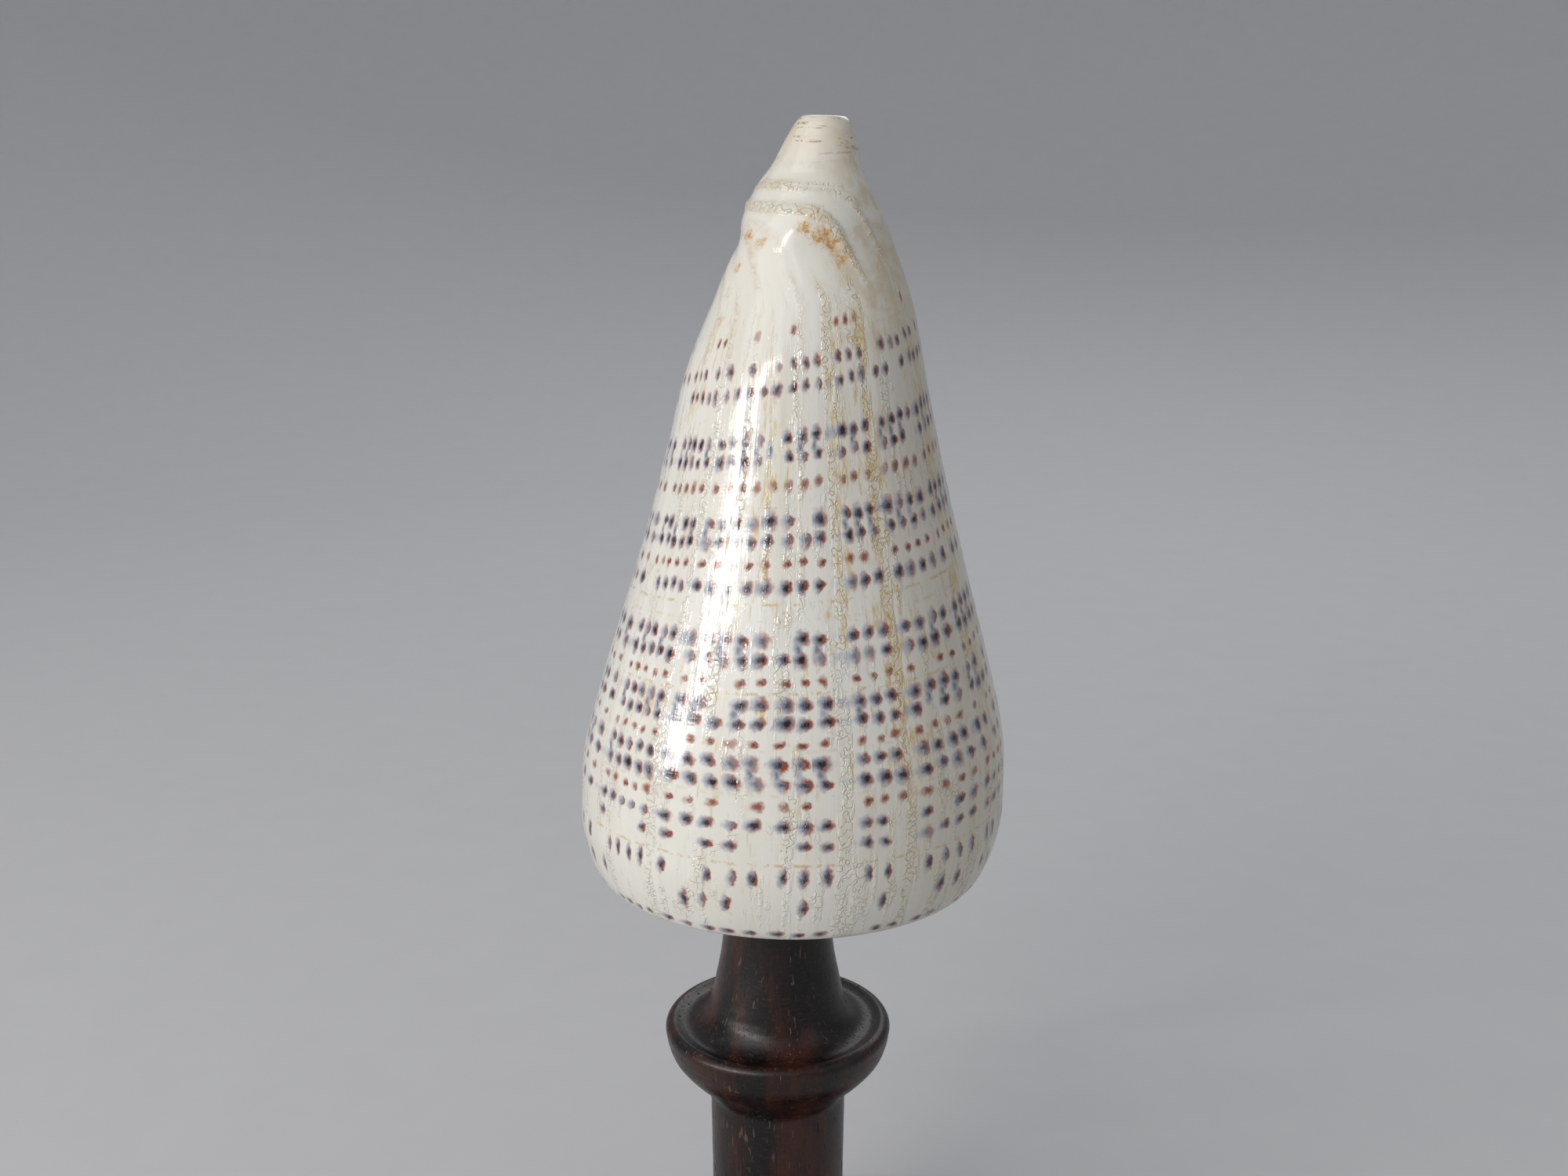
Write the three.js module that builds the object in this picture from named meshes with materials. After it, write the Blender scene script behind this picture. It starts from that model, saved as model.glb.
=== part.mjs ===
// A cone shell fixed point up on a turned wooden stand.
// Units are millimetres, +Z is up, and the origin is the bottom centre of the foot.
import * as THREE from 'three';
import { mergeVertices } from 'three/addons/utils/BufferGeometryUtils.js';

// ---- driving dimensions: the shell, in its own frame ----------------------------------
// The shell grew as a spiral about its own axis: one whorl is WHORL times as large as the
// whorl before it, measured from the apex. Heights are taken from the lower rim upwards.
const WHORL = 1.27;
const LIP_ANGLE = 145; // where the outer lip ends, in degrees from -Y towards +X
const APEX = -7; // the point of the spire, below the rim
const TIP = 130; // the flat anterior end
const EDGE_RADIUS = 37.2; // the angular shoulder at the lip
const SHOULDER_TOP = 13; // height where the rounded shoulder is widest
const SHOULDER_POWER = 1.5; // 2 would be a round shoulder, 1 a straight bevel
const SPIRE_HOLLOW = 1.1; // depth of the channel on the spire's ramp
// [height, radius] of the flank at the lip, and of the narrow pillar it becomes above.
const FLANK = [[13, 41.5], [26, 40.8], [40, 37.4], [56, 32.8], [72, 28.4], [88, 24.5],
  [104, 20.8], [118, 15.1], [130, 8.4], [142, 5.2], [160, 3.6], [240, 3]];
// [height, radius] of the anterior end, about a centre that leans towards the lip.
const SNOUT = [[100, 13.3], [106, 16], [112, 14.3], [116.6, 10.8], [121.3, 7.7], [126, 5.8],
  [130, 4.1]];
// [height, radius] of the pillar inside the anterior end.
const PILLAR = [[100, 4.2], [112, 3], [122, 2], [130, 1.3]];
const LEAN = 4.5; // how far the anterior end lies off the coil's axis
const SWEEP = 38; // how far the lip curls back at the anterior end, in degrees
const SWEEP_DEPTH = 14;
const FOLD = 1.1; // height of the low roll below the anterior groove
const LIP_WALL = 2.2; // thickness of the shell at the lip
const TIP_WALL = 1.1; // thickness at the anterior end
const POCKET = 0.6; // how far the open aperture runs back, in whorls
const FLOOR_SAG = 0.6; // how far the aperture's floor dips between its corners
const SHELL_SHIFT = 0.22; // the coil's axis beside the stand's axis, at the rim
const SHELL_TILT = 1.47; // lean towards +X, in degrees

// ---- driving dimensions: the stand -----------------------------------------------------
const RIM_HEIGHT = 100; // height of the shell's lower rim above the table
const GAP = 0.3; // between pieces that touch
const NECK_RADIUS = 9.6;
const COLLAR_RADIUS = 20.9;
const COLUMN_RADIUS = 12.6;
const FOOT_RADIUS = 43;
const FOOT_HEIGHT = 16;
const TENON_RADIUS = 6;
const TENON_LENGTH = 10;

// ---- how finely the pieces are faceted ---------------------------------------------------
const TURN_STEPS = 48; // around one whorl
const FLANK_ROWS = 20;
const SHOULDER_ROWS = 1; // of those, below the bottom corner of the aperture
const RAMP_ROWS = 3;
const SPIRE_WHORLS = 4;
const POCKET_STEPS = 14;
const FAR_WALL_STEPS = 2;
const LATHE_STEPS = 44;
const FOOT_STEPS = 64;

const radians = THREE.MathUtils.degToRad;
const lerp = THREE.MathUtils.lerp;
const smoothstep = THREE.MathUtils.smoothstep;

// A smooth curve through [x, y] points, each slope taken from its two neighbours.
function curveAt(points, x) {
  const last = points.length - 1;
  const at = THREE.MathUtils.clamp(x, points[0][0], points[last][0]);
  let i = 0;
  while (i < last - 1 && at > points[i + 1][0]) i += 1;
  const slope = (k) => {
    const [before, after] = [points[Math.max(k - 1, 0)], points[Math.min(k + 1, last)]];
    return (after[1] - before[1]) / (after[0] - before[0]);
  };
  const span = points[i + 1][0] - points[i][0];
  const t = (at - points[i][0]) / span;
  return (2 * t ** 3 - 3 * t ** 2 + 1) * points[i][1] + (t ** 3 - 2 * t ** 2 + t) * span * slope(i)
    + (3 * t ** 2 - 2 * t ** 3) * points[i + 1][1] + (t ** 3 - t ** 2) * span * slope(i + 1);
}

// Size of the coil at a growth stage: growth is counted in whorls and is 1 at the lip.
const coilScale = (growth) => WHORL ** (growth - 1);

// Radius of the whorl at the lip, from the shoulder's edge to far above the tip.
function flankRadius(height) {
  if (height >= SHOULDER_TOP) return curveAt(FLANK, height);
  const down = 1 - Math.max(height, 0) / SHOULDER_TOP;
  const swell = (1 - down ** SHOULDER_POWER) ** (1 / SHOULDER_POWER);
  return EDGE_RADIUS + (FLANK[0][1] - EDGE_RADIUS) * swell;
}

// Direction of a growth stage at a height: near the tip the lip curls back.
function growthAngle(growth, height) {
  const curl = THREE.MathUtils.clamp((height - TIP + SWEEP_DEPTH) / SWEEP_DEPTH, 0, 1);
  return LIP_ANGLE - SWEEP * curl ** 2.2 - 360 * (1 - growth);
}

// A point of the flank, set in by a wall thickness: the slice at each height is a spiral
// about a centre that moves off the axis towards the tip.
function flankPoint(growth, height, inset = 0) {
  const scale = coilScale(growth);
  const angle = growthAngle(growth, height);
  const turned = radians(angle);
  const pull = (1 - smoothstep(growth, 0, 0.4)) * smoothstep(height, 110, TIP);
  const centreX = LEAN * smoothstep(height, 94.6, 135) - 1.6 * pull;
  const centreY = 0.8 * pull;
  const coil = scale * flankRadius(APEX + (height - APEX) / scale)
    - centreX * Math.sin(turned) + centreY * Math.cos(turned);
  const pillar = curveAt(PILLAR, height);
  const snout = lerp(pillar, curveAt(SNOUT, height), smoothstep(growth, 0.02, 0.34));
  const groove = 116 + 0.093 * Math.max(angle, -232) + 0.0002 * Math.max(angle, -232) ** 2;
  const roll = FOLD * Math.exp(-(((height - groove + 3.5) / 4.5) ** 2))
    * (1 - smoothstep(angle, -60, 80)) * smoothstep(growth, -0.05, 0.2);
  const radius = lerp(coil, snout, smoothstep(height, 106, 121)) + roll - inset;
  return [centreX + radius * Math.sin(turned), centreY - radius * Math.cos(turned), height];
}

// Height of a row of the flank: rows follow the coil low down and lie level at the tip.
function rowHeight(row, growth) {
  const share = row / FLANK_ROWS;
  const height = TIP * (0.55 * share + 0.45 * share ** 1.9);
  const level = smoothstep(height, 60, 126);
  return APEX + (height - APEX) * coilScale(growth) ** (1 - level);
}

const flankVertex = (growth, row) => flankPoint(growth, rowHeight(row, growth));

// A point of the spire's ramp, from the suture (across 0) to the shoulder's edge (across 1).
function rampVertex(growth, across, lift = 0) {
  const scale = coilScale(growth);
  const size = scale * lerp(1 / WHORL, 1, across);
  const turned = radians(growthAngle(growth, 0));
  const hollow = scale * SPIRE_HOLLOW * Math.sin(Math.PI * across);
  return [EDGE_RADIUS * size * Math.sin(turned), -EDGE_RADIUS * size * Math.cos(turned),
    APEX - APEX * size + hollow + lift];
}

// Quads between neighbouring lines of points, which all have the same number of points.
function skin(lines) {
  const triangles = [];
  for (let i = 1; i < lines.length; i += 1) {
    for (let j = 1; j < lines[i].length; j += 1) {
      const [a, b, c, d] = [lines[i - 1][j - 1], lines[i][j - 1], lines[i][j], lines[i - 1][j]];
      triangles.push([a, b, c], [a, c, d]);
    }
  }
  return triangles;
}

const count = (steps, make) => Array.from({ length: steps + 1 }, (_, i) => make(i / steps, i));

// Merges triangles of points into one geometry and drops those that have no area.
function geometryOf(triangles) {
  const loose = new THREE.BufferGeometry();
  loose.setAttribute('position', new THREE.Float32BufferAttribute(triangles.flat(2), 3));
  const merged = mergeVertices(loose, 2e-3);
  const index = merged.index.array;
  const kept = [];
  for (let i = 0; i < index.length; i += 3) {
    const [a, b, c] = index.slice(i, i + 3);
    if (a !== b && b !== c && c !== a) kept.push(a, b, c);
  }
  merged.setIndex(kept);
  merged.computeVertexNormals();
  return merged;
}

// ---- the shell ---------------------------------------------------------------------------
// One closed skin: the flank, the spire down to the apex, the aperture with its thin lip,
// and the flat anterior end that the aperture opens into.
function shellGeometry() {
  const flank = count(TURN_STEPS, (growth) => count(FLANK_ROWS, (_, row) => flankVertex(growth, row)));
  const spireSteps = SPIRE_WHORLS * TURN_STEPS;
  const ramp = count(spireSteps, (share) => {
    const growth = 1 - SPIRE_WHORLS * (1 - share);
    return count(RAMP_ROWS, (across) => rampVertex(growth, across));
  });

  // The apex closes the innermost turn of the suture.
  const innermost = ramp.slice(0, TURN_STEPS + 1).map((line) => line[0]);
  const apexRim = [...innermost, ...ramp[0].slice(1, -1).reverse()];
  const apex = [0, 0, APEX];
  const cap = apexRim.map((point, i) => [apex, apexRim[(i + 1) % apexRim.length], point]);

  // Rows across the mouth count from the suture: along the ramp, then up the flank. Each has
  // a point on the lip's outer edge, one on the wrapped whorl inside, and an inner wall.
  const outerEdge = (i) => (i <= RAMP_ROWS ? rampVertex(1, i / RAMP_ROWS)
    : flankVertex(1, i - RAMP_ROWS));
  const wrapped = (i, growth) => flankVertex(growth - 1, i <= SHOULDER_ROWS ? i
    : Math.max(i - RAMP_ROWS, SHOULDER_ROWS));
  const wallAt = (height) => lerp(LIP_WALL, TIP_WALL, smoothstep(height, 60, TIP));
  const innerWall = (i, growth) => {
    const row = Math.max(i - RAMP_ROWS, SHOULDER_ROWS);
    const height = rowHeight(row, growth);
    const wall = new THREE.Vector3(...flankPoint(growth, height, wallAt(height)));
    // The lowest rows cross the aperture's floor, from the wrapped whorl to the wall.
    const across = Math.min((i - SHOULDER_ROWS) / RAMP_ROWS, 1);
    const point = new THREE.Vector3(...wrapped(SHOULDER_ROWS, growth)).lerp(wall, across);
    point.z -= FLOOR_SAG * Math.sin(Math.PI * across);
    return point.toArray();
  };
  const lipFoot = count(SHOULDER_ROWS, (_, i) => [outerEdge(i), wrapped(i, 1)]);
  const mouth = count(RAMP_ROWS + FLANK_ROWS - SHOULDER_ROWS, (_, step) => {
    const i = step + SHOULDER_ROWS;
    const inward = count(POCKET_STEPS, (share) => 1 - POCKET * share);
    const [from, to] = [innerWall(i, 1 - POCKET), wrapped(i, 1 - POCKET)];
    const farWall = count(FAR_WALL_STEPS, (share) => from.map((x, k) => lerp(x, to[k], share)));
    return [outerEdge(i), ...inward.map((growth) => innerWall(i, growth)),
      ...farWall.slice(1, -1), ...inward.toReversed().map((growth) => wrapped(i, growth))];
  });

  // The flat anterior end lies between the flank's top edge and the mouth's top line.
  const rim = flank.map((line) => line[FLANK_ROWS]);
  const outline = [...rim, ...mouth.at(-1).slice(1, -1)];
  const flat = outline.map(([x, y]) => new THREE.Vector2(x, y));
  const tip = THREE.ShapeUtils.triangulateShape(flat, [])
    .map((corners) => corners.map((corner) => outline[corner]));

  return geometryOf([...skin(flank), ...skin(ramp), ...cap, ...skin(lipFoot.toReversed()),
    ...skin(mouth.toReversed()), ...tip]);
}

// ---- the stand -----------------------------------------------------------------------------
// An outline of [radius, height] points turned about the Z axis, listed from the bottom up.
function turned(outline, steps) {
  const points = outline.map(([radius, height]) => new THREE.Vector2(radius, height));
  const lathe = new THREE.LatheGeometry(points, steps).rotateX(Math.PI / 2).toNonIndexed();
  const position = lathe.getAttribute('position');
  const corner = (i) => new THREE.Vector3().fromBufferAttribute(position, i).toArray();
  return geometryOf(count(position.count / 3 - 1,
    (_, i) => [corner(3 * i), corner(3 * i + 1), corner(3 * i + 2)]));
}

// Points of a smooth curve through [radius, height] points.
const smooth = (points, steps) => new THREE.SplineCurve(
  points.map(([radius, height]) => new THREE.Vector2(radius, height)),
).getPoints(steps).map(({ x, y }) => [x, y]);

// An arc of a bead about [radius, height], between two angles from the horizontal.
const bead = ([radius, height], size, from, to, steps) => count(steps, (share) => {
  const angle = radians(lerp(from, to, share));
  return [radius + size * Math.cos(angle), height + size * Math.sin(angle)];
});

// One turning: tenon, column, collar with a shallow dish, and the neck under the shell.
function spindleGeometry() {
  const seat = FOOT_HEIGHT + GAP;
  const collar = RIM_HEIGHT - 33.6; // height of the bead's centre
  // The neck's end is hollowed to the spire, and clears it by the gap.
  const spirePoint = RIM_HEIGHT + APEX - GAP - 0.1;
  const neckEnd = spirePoint - (APEX / EDGE_RADIUS) * NECK_RADIUS - 0.35;
  return turned([
    [0, seat - TENON_LENGTH],
    [TENON_RADIUS, seat - TENON_LENGTH],
    [TENON_RADIUS, seat],
    ...smooth([[COLUMN_RADIUS + 1.2, seat], [COLUMN_RADIUS, seat + 8], [COLUMN_RADIUS - 0.2, 35],
      [COLUMN_RADIUS, collar - 13.2]], 7),
    ...smooth([[COLUMN_RADIUS + 0.6, collar - 11.8], [16.9, collar - 8.2], [19.5, collar - 5],
      [20.6, collar - 2]], 6),
    ...bead([COLLAR_RADIUS - 1.6, collar], 1.6, -20, 95, 5),
    ...smooth([[17.4, collar + 0.9], [15.4, collar + 0.8], [13.6, collar + 2.5],
      [12.3, collar + 5.6], [11.3, collar + 10.5], [NECK_RADIUS + 0.6, collar + 17],
      [NECK_RADIUS, neckEnd - 1]], 10),
    [NECK_RADIUS - 0.5, neckEnd],
    [0, spirePoint],
  ], LATHE_STEPS);
}

// A plain round foot with a socket for the spindle's tenon.
function footGeometry() {
  const socket = TENON_RADIUS + GAP;
  return turned([
    [0, 0],
    [FOOT_RADIUS - 1, 0],
    [FOOT_RADIUS, 1],
    ...bead([FOOT_RADIUS - 3, 4.5], 3, 0, 90, 4),
    ...smooth([[FOOT_RADIUS - 5, 7.5], [FOOT_RADIUS - 12, 8.6], [23, 11.6], [18.5, 14.4],
      [16.5, FOOT_HEIGHT]], 7),
    [socket, FOOT_HEIGHT],
    [socket, FOOT_HEIGHT - TENON_LENGTH],
    [0, FOOT_HEIGHT - TENON_LENGTH],
  ], FOOT_STEPS);
}

// ---- the parts, each with its own finish ---------------------------------------------------
function piece(name, geometry, color, roughness) {
  const mesh = new THREE.Mesh(geometry, new THREE.MeshStandardMaterial({
    color, roughness, metalness: 0,
  }));
  mesh.name = name;
  return mesh;
}

const shell = piece('shell', shellGeometry(), '#e6ded1', 0.18);
shell.position.set(SHELL_SHIFT, 0, RIM_HEIGHT);
shell.rotation.y = radians(SHELL_TILT);

const mountedShell = new THREE.Group();
mountedShell.add(shell);
mountedShell.add(piece('spindle', spindleGeometry(), '#24140f', 0.38));
mountedShell.add(piece('foot', footGeometry(), '#2a1812', 0.4));

export default mountedShell;
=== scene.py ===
# %% [markdown]
# # A cone shell on a turned wooden stand
# A cone shell is one long tube of lime that its animal coiled round an axis and widened as it
# grew, so every whorl has the shape of the one before, a little larger. This specimen is
# polished and fixed point up on a small stand of dark wood. The lesson makes each surface from
# its own formula, as whole arrays, and then its finish from node materials.

# %% Load the fixed frame
import math
from types import SimpleNamespace

import bpy
import numpy as np
from mathutils import Matrix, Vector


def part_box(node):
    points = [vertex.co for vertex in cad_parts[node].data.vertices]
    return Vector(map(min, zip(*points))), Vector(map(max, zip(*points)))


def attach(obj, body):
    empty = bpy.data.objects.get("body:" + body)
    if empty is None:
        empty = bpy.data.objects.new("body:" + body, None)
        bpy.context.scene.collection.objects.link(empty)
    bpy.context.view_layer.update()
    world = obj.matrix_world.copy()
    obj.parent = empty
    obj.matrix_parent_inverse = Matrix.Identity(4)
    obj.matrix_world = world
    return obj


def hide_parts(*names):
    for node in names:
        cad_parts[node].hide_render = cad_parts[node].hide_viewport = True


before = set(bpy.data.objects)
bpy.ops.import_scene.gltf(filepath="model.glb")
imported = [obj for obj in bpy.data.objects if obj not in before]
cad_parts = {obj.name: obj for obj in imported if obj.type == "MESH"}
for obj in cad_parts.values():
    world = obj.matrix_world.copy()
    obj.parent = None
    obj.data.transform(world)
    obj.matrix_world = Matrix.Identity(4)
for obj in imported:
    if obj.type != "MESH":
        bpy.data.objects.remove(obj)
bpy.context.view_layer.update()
MM = 0.001

# %% [markdown]
# ## The shell's measures
# The shell has its own frame: the coil's axis is upright and heights count from the lower rim.
# These are the same few dimensions that the solid model is driven by. Growth is counted in
# whorls and is 1 at the lip, so one step of 1 back along the coil is one whorl earlier.

# %% Dimensions of the shell, in millimetres
WHORL = 1.27  # each whorl is this many times the size of the one before
LIP_ANGLE = 145.0  # where the outer lip ends, in degrees from -Y towards +X
APEX = -7.0  # height of the point of the spire
TIP = 130.0  # height of the flat anterior end
EDGE_RADIUS = 37.2  # of the lower rim
SHOULDER_TOP, SHOULDER_POWER = 13.0, 1.5  # height and power of the curve round the shoulder
SPIRE_HOLLOW = 1.1  # how deep the ramp of the spire is channelled
# Outlines as [height, radius]: the flank at the lip, the snout's outside, the pillar inside it.
FLANK = [(13, 41.5), (26, 40.8), (40, 37.4), (56, 32.8), (72, 28.4), (88, 24.5),
         (104, 20.8), (118, 15.1), (130, 8.4), (142, 5.2), (160, 3.6), (240, 3)]
SNOUT = [(100, 13.3), (106, 16), (112, 14.3), (116.6, 10.8), (121.3, 7.7), (126, 5.8), (130, 4.1)]
PILLAR = [(100, 4.2), (112, 3), (122, 2), (130, 1.3)]
LEAN = 4.5  # how far the canal leans towards the lip
SWEEP, SWEEP_DEPTH = 38.0, 14.0  # degrees that the lip curls back, over this much of the tip
FOLD = 1.1  # how far the roll round the tip stands out
LIP_WALL, TIP_WALL = 2.2, 1.1
POCKET = 0.6  # how far the mouth runs back inside, in whorls
FLOOR_SAG = 0.6
SHELL_SHIFT, SHELL_TILT = 0.22, math.radians(1.47)  # towards +X, and about the Y axis

RIM_HEIGHT = 100.0  # the shell's rim above the table
shell_low, shell_high = (np.array(corner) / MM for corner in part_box("shell"))
print("shell solid, mm:", shell_low.round(1), shell_high.round(1))

# %% [markdown]
# ## Curves and steps
# Two small tools carry all the shapes: a smooth curve through a few points, with each slope
# taken from the two neighbours, and a soft step from 0 to 1.

# %% Curve and step helpers
def stacked(*fields):
    """Fields whose sizes fit together, as the last axis of one array."""
    return np.stack(np.broadcast_arrays(*fields), -1)


def ends_doubled(points):
    return np.pad(np.array(points, float), ((1, 1), (0, 0)), "edge")


def cubic(t, here, there, slope_here, slope_there):
    """Goes from here at t = 0 to there at t = 1, with these slopes at its ends."""
    return ((2 * t**3 - 3 * t**2 + 1) * here + (t**3 - 2 * t**2 + t) * slope_here
            + (3 * t**2 - 2 * t**3) * there + (t**3 - t**2) * slope_there)


def curve_at(points, x):
    """The value at x of a curve through the points, each slope that between its neighbours."""
    knots, values = np.array(points, float).T
    run, rise = (ends_doubled(points)[2:] - ends_doubled(points)[:-2]).T
    x = np.clip(x, knots[0], knots[-1])
    i = np.clip(np.searchsorted(knots, x) - 1, 0, len(knots) - 2)
    span = knots[i + 1] - knots[i]
    slopes = rise / run
    return cubic((x - knots[i]) / span, values[i], values[i + 1],
                 span * slopes[i], span * slopes[i + 1])


def smoothstep(low, high, x):
    t = np.clip((x - low) / (high - low), 0, 1)
    return t * t * (3 - 2 * t)


def rounding(start, end, x):
    """0 before start, then a quarter circle that reaches 1 at end."""
    t = np.clip((x - start) / (end - start), 0, 1)
    return 1 - np.sqrt(1 - t * t)


DRAWS = 512


def wander(seed, x, spacing):
    """Smooth random values between -1 and 1, one drawn for each spacing along x."""
    drawn = np.random.default_rng(seed).uniform(-1, 1, DRAWS)
    place = np.asarray(x) / spacing + DRAWS / 2
    i = np.clip(np.floor(place).astype(int), 0, DRAWS - 2)
    t = place - i
    return drawn[i] + (drawn[i + 1] - drawn[i]) * t * t * (3 - 2 * t)


print("flank radius at mid height:", curve_at(FLANK, 65.0).round(2), "mm")

# %% [markdown]
# ## The flank as a formula
# The flank is a surface of growth and height. At each growth stage the profile is scaled about
# the apex, which gives the spiral step at the lip for free. Near the tip a slice is not centred
# on the axis any more: the canal leans towards the lip, so the slices' centre moves there.

# %% The flank's surface
def coil_scale(growth):
    return WHORL ** (growth - 1)


def height_at_lip(growth, height):
    """The height on the whorl at the lip of the place that this one is a smaller copy of."""
    return APEX + (height - APEX) / coil_scale(growth)


def flank_radius(height):
    """The profile at the lip: a power curve round the shoulder, then the flank's curve."""
    down = 1 - np.clip(height, 0, SHOULDER_TOP) / SHOULDER_TOP
    swell = (1 - down**SHOULDER_POWER) ** (1 / SHOULDER_POWER)
    shoulder = EDGE_RADIUS + (FLANK[0][1] - EDGE_RADIUS) * swell
    return np.where(height >= SHOULDER_TOP, curve_at(FLANK, height), shoulder)


def coil_radius(growth, height):
    return coil_scale(growth) * flank_radius(height_at_lip(growth, height))


def growth_angle(growth, height):
    """Degrees from -Y towards +X: a full turn a whorl, curled back near the tip."""
    curl = np.clip((height - TIP + SWEEP_DEPTH) / SWEEP_DEPTH, 0, 1)
    return LIP_ANGLE - SWEEP * curl**2.2 - 360 * (1 - growth)


def groove_height(angle):
    """Height of the groove round the tip, which climbs ever more steeply towards the lip."""
    around = np.maximum(angle, -232)
    return 116 + 0.093 * around + 0.0002 * around**2


def flank_point(growth, height, inset=0.0):
    """Centre of the slice plus radius times direction; the radius blends coil into snout."""
    angle = growth_angle(growth, height)
    turn = np.radians(angle)
    # The canal leans towards the lip, but its oldest part is drawn back to the axis.
    pull = (1 - smoothstep(0, 0.4, growth)) * smoothstep(110, TIP, height)
    centre_x = LEAN * smoothstep(94.6, 135, height) - 1.6 * pull
    centre_y = 0.8 * pull
    coil = (coil_radius(growth, height)
            - centre_x * np.sin(turn) + centre_y * np.cos(turn))
    pillar = curve_at(PILLAR, height)
    snout = pillar + (curve_at(SNOUT, height) - pillar) * smoothstep(0.02, 0.34, growth)
    # The roll lies just under the groove and fades out before the lip.
    off_middle = (height - groove_height(angle) + 3.5) / 4.5
    roll = (FOLD * np.exp(-(off_middle**2))
            * (1 - smoothstep(-60, 80, angle)) * smoothstep(-0.05, 0.2, growth))
    blend = smoothstep(106, 121, height)
    radius = coil + (snout - coil) * blend + roll - inset
    return stacked(centre_x + radius * np.sin(turn), centre_y - radius * np.cos(turn), height)


front = flank_point(np.array(0.6), np.array(60.0))
print("a point of the front:", front.round(1))

# %% [markdown]
# ## Growth lines
# Every growth line is a former edge of the lip. Low down it runs straight up the shell. Near
# the tip it curls back and runs level round the canal, and it is there that the shell shows its
# coarse old edges. So each place on the flank has a growth stage: the angle at which the lip
# stood when that place was made. It has no simple formula, so it is found by halving.

# %% The growth stage of every place
# [stage, height] of the level stretch, and [depth below it, how far the line is curled back].
LEVEL = [(-240, 101), (-120, 106), (-30, 111.8), (0, 113.2), (44, 115.8), (65, 118.9),
         (105, 124), (145, 130.6)]
CURL = [(0, 150), (0.4, 57), (1.1, 40), (2, 31), (3.5, 23), (6.5, 14), (9.5, 6), (13, 0)]


def growth_stage(angle, height):
    """The stage whose curled line passes the place, found by halving the range it lies in."""
    angle, height = np.broadcast_arrays(angle, height)
    low, high = angle * 1.0, angle + 160.0
    for _ in range(22):
        middle = (low + high) / 2
        depth = np.clip(curve_at(LEVEL, middle) - height, 0, 13)
        before = middle - curve_at(CURL, depth) < angle
        low, high = np.where(before, middle, low), np.where(before, high, middle)
    return (low + high) / 2


def line_distance(angle, height, radius, stage):
    """Gives millimetres to any growth line: the difference of stage over its slope."""
    across = (growth_stage(angle + 1, height) - stage) / (np.radians(1) * radius)
    along = (growth_stage(angle, height + 0.3) - stage) / 0.3
    slope = np.maximum(np.hypot(across, along), 0.2)
    return lambda line: (stage - line) / slope


print("stage of a place at the left of the tip:", growth_stage(-90.0, 114.0).round(0))

# %% [markdown]
# ## Relief
# The shell was built up in steps, so its surface is never a clean cone: it waves slightly from
# growth to growth, and at the anterior end the old edges stand up as ridges. This relief is
# geometry. Only what is finer than a millimetre is left to the bump in the material.

# %% The relief in the surface
# Coarse growth lines as [stage, height of the ridge near the tip in mm, pitting down the flank].
COARSE_LINES = [(118, 0.12, 0.6), (92, 0.15, 0.5), (65, 0.32, 0.35), (44, 0.42, 0.35),
                (33, 0.0, 0.9), (16.5, 0.0, 0.8), (2, 0.16, 0.4), (-20, 0.22, 0.3),
                (-36, 0.1, 0.6), (-52, 0.2, 0.4), (-80, 0.3, 0.5), (-120, 0.3, 0.5),
                (-165, 0.2, 0.6)]
LEAST_RADIUS = 4.0  # keeps the distances across the shell sound right up to its tip


def coarse_lines(angle, height, radius, stage):
    """For each coarse line: its ridge, and its pitting, at a distance in mm from it."""
    distance = line_distance(angle, height, radius, stage)
    near_tip = smoothstep(16, 4, curve_at(LEVEL, stage) - height)
    ridge, pitting = 0.0, 0.0
    for line, strength, pits in COARSE_LINES:
        off = distance(line)
        ridge = ridge + strength * near_tip * np.exp(-((off / 0.7) ** 2))
        share = np.minimum(2.2 * strength * near_tip + pits * (1 - near_tip), 1)
        pitting = np.maximum(pitting, share * np.exp(-((off / 1.1) ** 2)))
    return ridge, pitting


def relief(growth, height):
    """Outward lift in mm: slow waves with growth, and a ridge at each coarse growth line."""
    angle = growth_angle(growth, height)
    radius = np.maximum(coil_radius(growth, height), LEAST_RADIUS)
    stage = growth_stage(angle, height)
    ridge, pitting = coarse_lines(angle, height, radius, stage)
    calm = 1 - 0.75 * smoothstep(96, 112, height)
    waves = calm * (0.06 * wander(3, stage, 13.0) + 0.025 * wander(4, stage, 4.5)
                    + 0.05 * wander(5, stage + 0.4 * height, 16.0))
    dents = 0.06 * wander(6, height + 0.1 * stage, 3.0) * wander(7, stage, 5.0) * calm
    to_lip = (1 - growth) * 2 * np.pi * radius
    fade = (smoothstep(0, 3, height) * smoothstep(TIP, TIP - 3, height)
            * smoothstep(-0.02, 0.05, growth) * smoothstep(0, 1.5, to_lip))
    return (waves + dents + ridge - 0.08 * pitting) * fade


sample = relief(np.linspace(0.2, 0.9, 200)[:, None], np.linspace(5, 125, 100)[None])
print("relief from", sample.min().round(2), "to", sample.max().round(2), "mm")

# %% [markdown]
# ## Where the spots lie
# The spots stand in rows that climb with the coil and in columns that follow the growth lines:
# the animal's mantle laid pigment at fixed places, in bursts. So the material needs to know, at
# each place, which row and column it is in. Both are counted here so that whole numbers are the
# middles of the cells and the bare bands between them stay on a half.

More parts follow.
